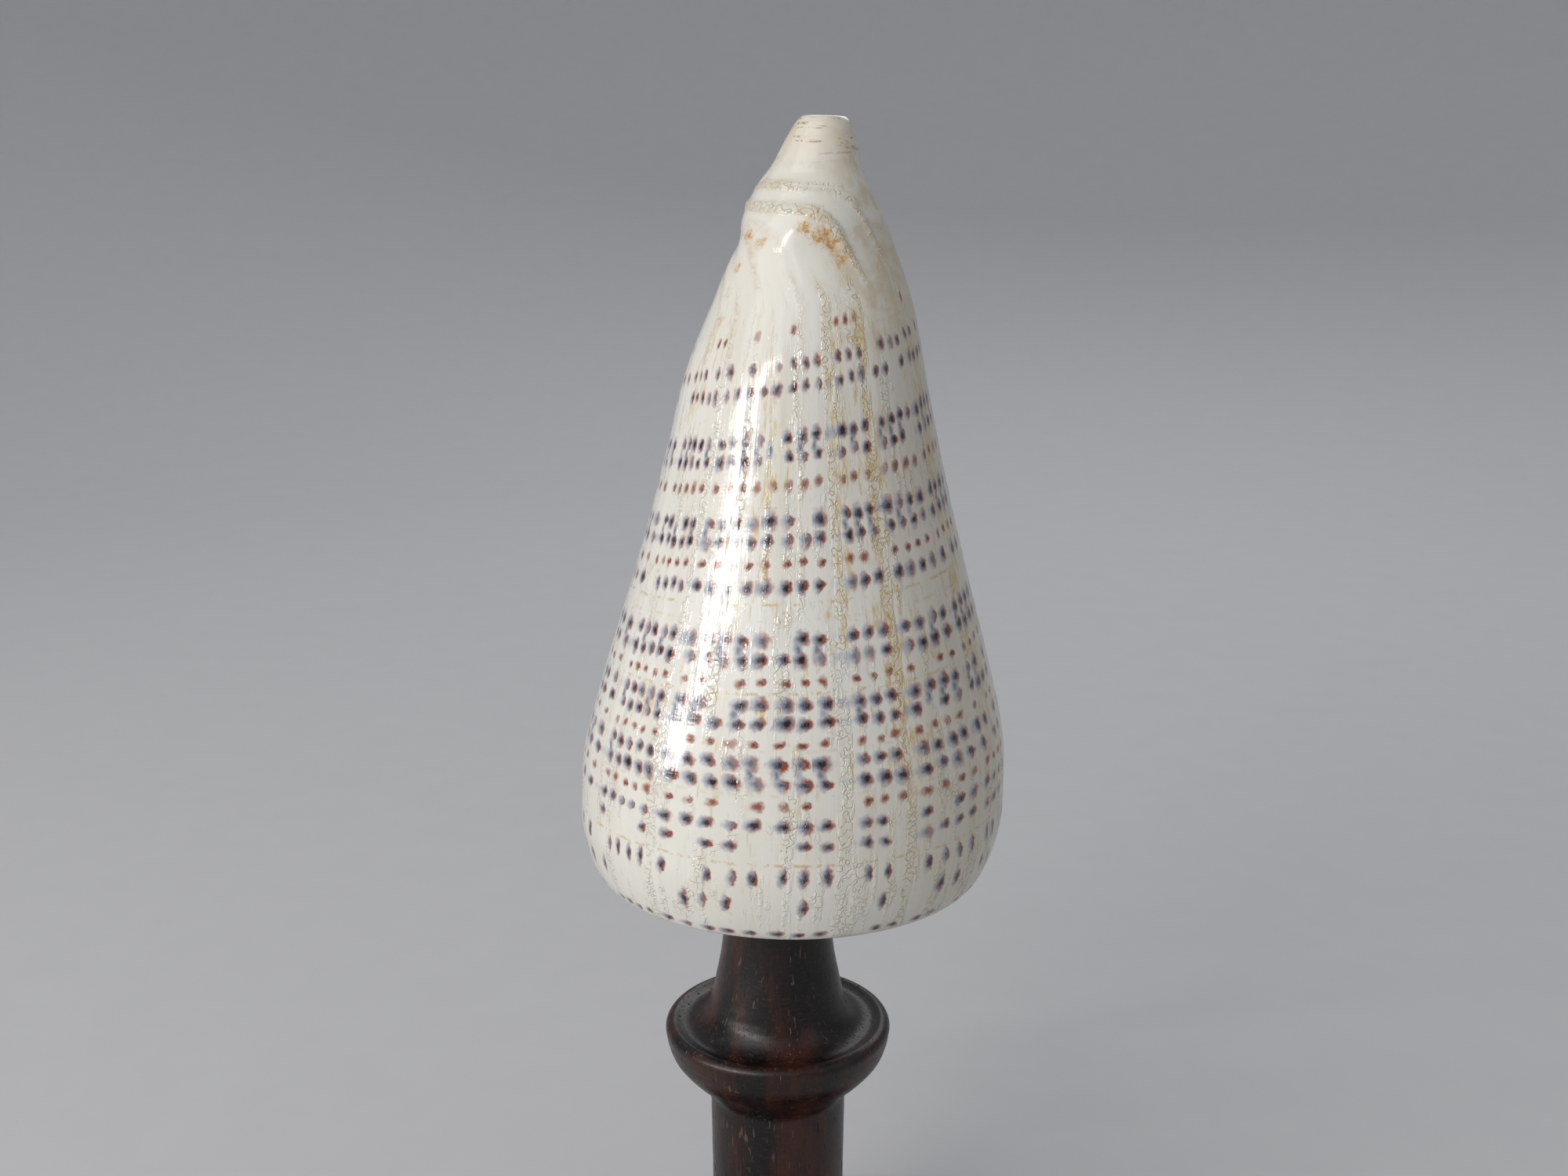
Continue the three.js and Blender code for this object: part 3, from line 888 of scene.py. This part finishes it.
def fill_spots():
    """Haze, slate, core and fringe of the spot in this cell, each from 0 to 1."""
    column, row, outside = own_values("cell")
    cell = joined(column, row)
    number = vector_maths("FLOOR", vector_maths("ADD", cell, (0.5, 0.5, 0)))
    column, row, _ = parts(number)
    size, share, join = row_kinds(row)
    shift_u, shift_v, swell, chance = random_in(joined(column, row, 1.5))
    pointed, burst, cracked, vigour = random_in(joined(column, row, 8.5))

    # Where this place is in its cell, with a wobble that makes every outline uneven.
    wobble = noise(object_place(), 900.0, 3.0, 0.6, "Color")
    wobble_u, wobble_v, _ = parts(vector_maths("SUBTRACT", wobble, (0.5, 0.5, 0.5)))
    u, v, _ = parts(vector_maths("SUBTRACT", cell, number))
    from_row = 0.5 - maths("ABSOLUTE", v)
    towards = maths("GREATER_THAN", v * join, 0.0)
    u = wobble_u * 0.4 + u
    v = wobble_v * 0.4 + v
    spot_u = u + shift_u * 0.18 - 0.14
    spot_v = v + shift_v * 0.12 - 0.06

    big = soft_step(size, 0.3, 0.7)
    radius = size * (swell * 0.4 + 0.75) * 0.15 + 0.165
    present = maths("LESS_THAN", chance, share)
    outside = soft_step(outside, 0.2, 0.8)

    # The side runs from 0 on the older flank of the spot to 1 on the younger one. The rows next
    # to the shoulder have upright dashes in place of spots.
    stage, height, _ = own_values("growth")
    dashes = soft_step(height, 17.0, 15.5) * soft_step(height, 3.8, 5.0)
    u_share = spot_u / radius * (dashes * 0.5 + 1.0)
    v_share = spot_v / (radius * 1.12) * (1.0 - dashes * 0.12)
    side = soft_step(u_share, -0.7, 0.45)
    squeeze = side * 0.45 + soft_step(vigour, 0.0, 0.25, 0.5, 0.72)
    distance = vector_maths("LENGTH", joined(u_share * squeeze,
                                             v_share * (side * pointed * 0.55 + 1.0)))
    strength = soft_step(burst, 0.0, 0.5, 0.6, 1.0)
    pigment = straight_step(distance, 1.55 - side * 0.35, side * 0.35 + 0.1) * present * strength

    # A hazy bar joins the older sides of a pair of rows.
    pair = row + maths("MINIMUM", join, 0.0)
    bar_chance = random_in(joined(column, pair, 15.5))[0]
    bar = oval(u + 0.16, from_row, 0.34, 0.7) * towards * big
    pigment = largest(pigment, bar * soft_step(bar_chance, 0.62, 0.4) * 0.62)

    # Fine upright cracks break the dark parts.
    crack = noise(joined(stage * 4.5, height * 0.9), 1.0, 2.0, 0.6) * 1.8 - 0.95
    core = pigment + crack * pigment * soft_step(cracked, 0.2, 0.9)

    # Big spots have a red-brown fringe. A small spot is red-brown all over, some with a heart.
    edge = soft_step(distance, 1.7, 0.95) * soft_step(distance, 0.4, 0.8)
    fringe = edge * side * present * (vigour * 0.5 + 0.6)
    small = soft_step(distance, 1.6, 0.35) * present * strength * (1.0 - big)
    heart = soft_step(distance, 0.7, 0.15) * present * soft_step(vigour, 0.15, 0.7)
    heart = heart * (1.0 - big) * 0.6
    return (soft_step(pigment, 0.0, 0.45) * big * outside,
            soft_step(pigment, 0.34, 0.78) * big * outside,
            largest(soft_step(core, 0.68, 1.0) * big, heart) * outside,
            largest(fringe, small) * outside)


spots = node_group("pigment_spots", fill_spots, gives=("Haze", "Slate", "Core", "Fringe"))
print("spots group:", len(spots.nodes), "nodes")

# %% [markdown]
# ## Growth lines and pits
# Each growth line is a slight step in the lime. The polish leaves them smooth, except where the
# lines were coarse: there the surface is broken into tiny pebbles with winding grooves between
# them. Noise read by growth stage and height is drawn out along the growth lines, and the
# grooves are where a finer noise passes its middle value.

# %% The group for growth lines
def fill_growth():
    """Fine and broad lines, grooves, coarse share, and the height of it all for the bump."""
    stage, height, _ = own_values("growth")
    pitting, _, _ = own_values("wear")
    place = object_place()
    fine = noise(joined(stage * 1.5, height * 0.03), 1.0, 3.0, 0.6)
    broad = noise(joined(stage * 0.16, height * 0.012, 4.0), 1.0, 2.0, 0.5)
    spiral = noise(joined(stage * 0.02, height * 1.3, 8.0), 1.0, 2.0, 0.5)
    string = noise(joined(stage * 0.3, height * 0.05, 12.0), 1.0, 3.0, 0.6)
    patch = noise(place, 170.0, 3.0, 0.6)
    calm = soft_step(height, 118.0, 98.0, 0.04, 1.0)
    coarse = pitting * 0.34 + string + patch * 0.5 + soft_step(height, 40.0, 5.0, 0.0, 0.05)
    coarse = soft_step(coarse, 0.8, 0.98) * largest(calm, soft_step(pitting, 0.2, 0.7))
    pebble = noise(place, 780.0, 1.0, 0.5)
    groove = soft_step(maths("ABSOLUTE", pebble - 0.5), 0.05, 0.0) * coarse
    level = (fine * 0.16 + broad * 0.5 + spiral * 0.1) * calm + pebble * coarse - groove
    return fine, broad, groove, coarse, level


growth_lines = node_group("growth_lines", fill_growth,
                          gives=("Fine", "Broad", "Grooves", "Coarse", "Height"))
print("growth group:", len(growth_lines.nodes), "nodes")

# %% [markdown]
# ## The polished shell
# Polished cone shell is a warm white with a high gloss. The finish mixes, in order: the lime's
# own slow change of tone, with cream painted as shade on its newer, +X side, tan and brown
# stains at the tip, ochre dirt along growth lines and in thin spiral lines, the pigment, and
# rust in the folds near the tip. Inside the mouth it is plain porcelain, with a darker, warmer
# painted shade deeper in.

# %% The shell's material
# The cream lime colour is both the lime's cream tone and the painted shade on the +X side.
WHITE_LIME, CREAM_AND_SHADE_LIME = (0.77, 0.765, 0.725), (0.58, 0.525, 0.4)
TAN, TIP_BROWN, TIP_LINES = (0.56, 0.45, 0.28), (0.6, 0.45, 0.25), (0.34, 0.21, 0.09)
OCHRE = (0.56, 0.4, 0.135)
HAZE, SLATE = (0.33, 0.36, 0.44), (0.085, 0.085, 0.11)
FRINGE, CORE = (0.27, 0.06, 0.026), (0.019, 0.012, 0.013)
PALE_RUST, DEEP_RUST = (0.58, 0.36, 0.13), (0.46, 0.19, 0.045)
# The second porcelain colour is painted shade, darker and warmer deep in the mouth.
PORCELAIN, PORCELAIN_IN_SHADE = (0.78, 0.74, 0.68), (0.6, 0.5, 0.4)
# Spiral lines of dirt as [height at the lip, strength].
OCHRE_LINES = [(60.6, 0.9), (45.6, 0.8), (15.9, 0.9), (57.9, 0.4), (28.5, 0.35), (36.0, 0.3)]


def read_shell():
    """What the finish has to know of a place on the shell."""
    here = SimpleNamespace(place=object_place(), lines=use_group(growth_lines),
                           spot=use_group(spots))
    here.stage, here.at_lip, here.depth = own_values("growth")
    here.pitting, here.rust, here.grime = own_values("wear")
    _, _, here.outside = own_values("cell")
    here.cloud = noise(here.place, 28.0, 3.0, 0.55)
    here.speck = noise(here.place, 650.0, 3.0, 0.7)
    here.flank = (soft_step(here.at_lip, 120.0, 104.0, 0.06, 1.0)
                  * soft_step(here.at_lip, 10.0, 42.0, 0.2, 1.0))
    return here


def lime(here):
    """Warm white, a little creamier in broad growth bands, with cream as painted shade on the
    newer, +X side.
    """
    # Painted shade: cream on the newer, +X side, away from the key light.
    painted_side_shade = (soft_step(here.stage, 5.0, 105.0, 0.0, 0.75)
             * soft_step(here.at_lip, 112.0, 122.0, 1.0, 0.2))
    bands = (here.lines["Broad"] - 0.6) * here.flank * 0.7
    cream_and_shade = here.cloud * 0.6 + painted_side_shade + bands + here.lines["Coarse"] * 0.12
    return blend_colour(largest(cream_and_shade, 0.0), WHITE_LIME, CREAM_AND_SHADE_LIME)


def tip_stained(here, colour):
    """Tan in the pits and on the right of the tip, and level brown lines at its very top."""
    x, y, z = in_millimetres(here.place)
    tan = largest(soft_step(here.pitting, 0.1, 0.6) * 0.9, soft_step(x, 5.5, 13.0, 0.0, 0.9))
    tan = tan * soft_step(here.at_lip, 98.0, 108.0) * here.outside
    tan = tan * soft_step(noise(here.place, 260.0, 4.0, 0.7), 0.38, 0.64)
    colour = blend_colour(tan * 0.7, colour, TAN)
    top = soft_step(z, RIM_HEIGHT + TIP - 8.5, RIM_HEIGHT + TIP - 3.5) * here.outside
    colour = blend_colour(top * here.cloud * 0.5, colour, TIP_BROWN)
    level = noise(joined(x * 0.12, y * 0.12, z), 1.0, 2.0, 0.6)
    top = top * soft_step(level, 0.55, 0.6) * soft_step(here.speck, 0.42, 0.54)
    return blend_colour(top * 0.8, colour, TIP_LINES)


def dirt_share(here):
    """Broken ochre along the growth lines, in pitted grooves and in the spiral lines."""
    strand = noise(joined(here.stage * 1.5, here.at_lip * 0.4, 70.0), 1.0, 4.0, 0.75)
    streak = noise(joined(here.stage * 0.42, here.at_lip * 0.13, 30.0), 1.0, 3.0, 0.6)
    streak = here.grime * 0.13 + streak
    dirt = soft_step(streak, 0.6, 0.72) * soft_step(strand, 0.42, 0.56) * here.flank
    dirt = largest(dirt, here.lines["Grooves"] * soft_step(here.grime, 0.2, 0.9, 0.1, 0.9))
    broken = soft_step(here.speck, 0.48, 0.6)
    for line, strength in OCHRE_LINES:
        off = maths("ABSOLUTE", here.cloud * 1.2 + here.at_lip - (line + 0.6))
        dirt = largest(dirt, soft_step(off, 0.45, 0.1) * broken * strength)
    return dirt * here.outside


def shell_finish():
    here = read_shell()
    dirt = dirt_share(here)
    colour = blend_colour(dirt * 0.85, tip_stained(here, lime(here)), OCHRE)
    for name, share, pigment in (("Haze", 0.8, HAZE), ("Slate", 0.9, SLATE),
                                 ("Fringe", 0.95, FRINGE), ("Core", 0.95, CORE)):
        colour = blend_colour(here.spot[name] * share, colour, pigment)
    blots = (here.rust * 0.4 + noise(here.place, 1000.0, 5.0, 0.8)) * here.outside
    colour = blend_colour(soft_step(blots, 0.66, 0.9, 0.0, 0.8), colour, PALE_RUST)
    rust = soft_step(blots, 0.82, 0.94)
    colour = blend_colour(rust * 0.85, colour, DEEP_RUST)
    # Painted shade: the porcelain darkens deeper inside the mouth.
    porcelain_with_shade = blend_colour(soft_step(here.depth, 0.0, 0.5), PORCELAIN, PORCELAIN_IN_SHADE)
    rough = here.lines["Grooves"] * 0.4 + here.lines["Fine"] * 0.05 + dirt * 0.2 + rust * 0.3
    return {"Base Color": blend_colour(1.0 - here.outside, colour, porcelain_with_shade),
            "Roughness": rough + 0.085,
            "Normal": bumped(here.lines["Height"], 0.6, 0.3 * MM),
            "IOR": 1.55}


shell.data.materials.append(make_material("polished_shell", shell_finish))
print("shell material:", len(shell.data.materials[0].node_tree.nodes), "nodes")

# %% [markdown]
# ## Dark rosewood
# The stand is a dense, nearly black wood with redder zones along the grain. Its open pores are
# short, some of them filled with pale wax, and a thin wax shines on every edge and bead, duller
# where it is scuffed. The scuffs are also lightened in colour, as a pale wax bloom and a painted
# sheen. Grain runs along a piece's length: upright in the spindle, and across in the foot,
# which was turned from a board.

# %% The group for rosewood and the two wood materials
BLACK_WOOD, RED_WOOD = (0.005, 0.0036, 0.0032), (0.046, 0.0125, 0.0075)
# The bloom colour is a pale wax bloom and also a painted sheen on the scuffed wood.
PORE, BLOOM_AND_SHEEN, PALE_WAX = (0.004, 0.003, 0.003), (0.06, 0.046, 0.036), (0.16, 0.1, 0.065)


def fill_rosewood(place):
    """Red zones, open and filled pores, fibre and scuffs of wood whose grain runs along z."""
    x, y, z = in_millimetres(place)
    along = joined(x, y, z * 0.22)
    patch = noise(along, 0.09, 3.0, 0.6)
    rings = vector_maths("LENGTH", joined(x + 55.0, y))
    rings = maths("SINE", patch * 14.0 + rings * 0.9)
    fibre = noise(joined(x, y, z * 0.08), 2.6, 4.0, 0.65)
    red = soft_step(fibre * 0.25 + rings * 0.02 + patch, 0.57, 0.78)
    cells = noise(joined(x, y, z * 0.13), 2.1, 1.0, 0.4)
    pores = soft_step(cells, 0.66, 0.72)
    filled = soft_step(cells, 0.655, 0.7) * soft_step(noise(along, 0.3, 1.0, 0.5), 0.47, 0.56)
    scuffs = noise(joined(x * 0.5, y * 0.5, z * 1.4), 1.5, 4.0, 0.7)
    return red, pores, filled, fibre, scuffs


rosewood = node_group("rosewood", fill_rosewood, takes=("Place",),
                      gives=("Red", "Pores", "Filled", "Fibre", "Scuffs"))


def wood_finish(grain_turn):
    """The grain is turned about the Y axis by this many degrees."""
    turned = output_of(0, "ShaderNodeMapping", {
        "Vector": object_place(), "Rotation": (0, math.radians(grain_turn), 0)})
    grain = use_group(rosewood, Place=turned)
    colour = blend_colour(grain["Red"], BLACK_WOOD, RED_WOOD)
    colour = blend_colour(grain["Pores"] * 0.7, colour, PORE)
    # Painted sheen: scuffed patches are lightened, as a wax bloom.
    colour = blend_colour(soft_step(grain["Scuffs"], 0.5, 0.8, 0.0, 0.5), colour, BLOOM_AND_SHEEN)
    rough = grain["Scuffs"] * 0.34 + grain["Fibre"] * 0.1 + grain["Pores"] * 0.3
    height = grain["Fibre"] * 0.35 + grain["Scuffs"] * 0.25 - grain["Pores"]
    return {"Base Color": blend_colour(grain["Filled"] * 0.5, colour, PALE_WAX),
            "Roughness": rough + 0.11,
            "Normal": bumped(height, 0.5, 0.2 * MM),
            "IOR": 1.5,
            "Specular IOR Level": 0.38}


for name, slot, grain_turn in (("spindle", "turned_wood", 0), ("foot", "foot_wood", 90)):
    turnings[name].data.materials.append(make_material(slot, wood_finish, grain_turn))
print("wood materials share the group", rosewood.name)

# %% [markdown]
# ## The camera
# The camera stands level with the tip of the shell and looks down by 14 degrees. The shell
# fills most of the view, and the stand runs out of it below.

# %% The camera
camera = add_object("camera", bpy.data.cameras.new("camera"))
camera.data.sensor_width, camera.data.lens = 36.0, 39.6
camera.data.clip_start, camera.data.clip_end = 0.01, 20.0
camera.location = (0.00116, -0.293, 0.2231)
camera.rotation_euler = (math.radians(90 - 14), 0, 0)
bpy.context.scene.camera = camera
print("lens", camera.data.lens, "mm")

# %% [markdown]
# ## The table
# The table is one pale matt sheet. It is level near the stand and rises further out, as the
# square of the distance, so that no edge or horizon shows when the camera looks down on it.

# %% The table
LEVEL_REACH, TABLE_REACH = 0.9, 3.2  # metres

turn = np.linspace(0, 2 * np.pi, 97)[:, None]
reach = np.linspace(0, TABLE_REACH, 60)[None]
rise = 0.35 * np.maximum(reach - LEVEL_REACH, 0) ** 2
sheet = stacked(reach * np.cos(turn), reach * np.sin(turn), rise)
table_mesh = weld("table", [(sheet / MM, {})])
table_mesh.shade_smooth()
table = add_object("table", table_mesh)


def paper_finish():
    tone = soft_step(noise(object_place(), 60.0, 4.0, 0.6), 0.3, 0.7)
    return {"Base Color": blend_colour(tone, (0.52, 0.52, 0.522), (0.53, 0.53, 0.531)),
            "Roughness": 0.9}


table_mesh.materials.append(make_material("pale_paper", paper_finish))
print("table of", len(table_mesh.polygons), "faces")

# %% [markdown]
# ## The lights
# A wide soft light from the front left models the cone, and a tall narrow one draws the bright
# upright streak that a window leaves on polished shell. A weak one from the right and a broad
# one from behind keep the far sides readable.

# %% The lights
def soft_light(name, place, aim, size, power, colour=(1, 1, 1), upright=(0, 0, 1)):
    """A rectangle of light at place that faces aim; upright is the way its long side runs."""
    lamp = bpy.data.lights.new(name, "AREA")
    lamp.shape, lamp.energy, lamp.color = "RECTANGLE", power, colour
    lamp.size, lamp.size_y = size
    light = add_object(name, lamp)
    back = np.subtract(place, aim)
    back = back / np.linalg.norm(back)
    side = np.cross(upright, back)
    side /= np.linalg.norm(side)
    light_axes = np.eye(4)
    light_axes[:3, :3] = np.stack([side, np.cross(back, side), back], 1)
    light_axes[:3, 3] = place
    light.matrix_world = Matrix(light_axes.tolist())
    light.visible_camera = False


WARM, COOL = (1.0, 0.98, 0.95), (0.96, 0.98, 1.0)
middle = (0, 0, 0.15)
top, low = np.array([-0.43, -0.88, 0.65]), np.array([-1.05, -0.34, 0.19])
soft_light("window", (top + low) / 2, middle, (0.032, float(np.linalg.norm(top - low))), 5.2,
           WARM, upright=top - low)
soft_light("key", (-0.75, -0.75, 0.85), middle, (1.2, 1.2), 5.6, WARM)
soft_light("fill", (0.95, -0.55, 0.55), middle, (0.8, 0.8), 0.5, COOL)
soft_light("rear", (0.3, 1.0, 0.9), middle, (0.9, 0.5), 3.0)

world = bpy.data.worlds.new("room")
bpy.context.scene.world = world
world.use_nodes = True
background = world.node_tree.nodes["Background"]
background.inputs["Color"].default_value = (0.9, 0.93, 1.0, 1)
background.inputs["Strength"].default_value = 0.46
bpy.context.scene.view_settings.view_transform = "Standard"
print(len(bpy.data.lights), "lights in a", world.name)
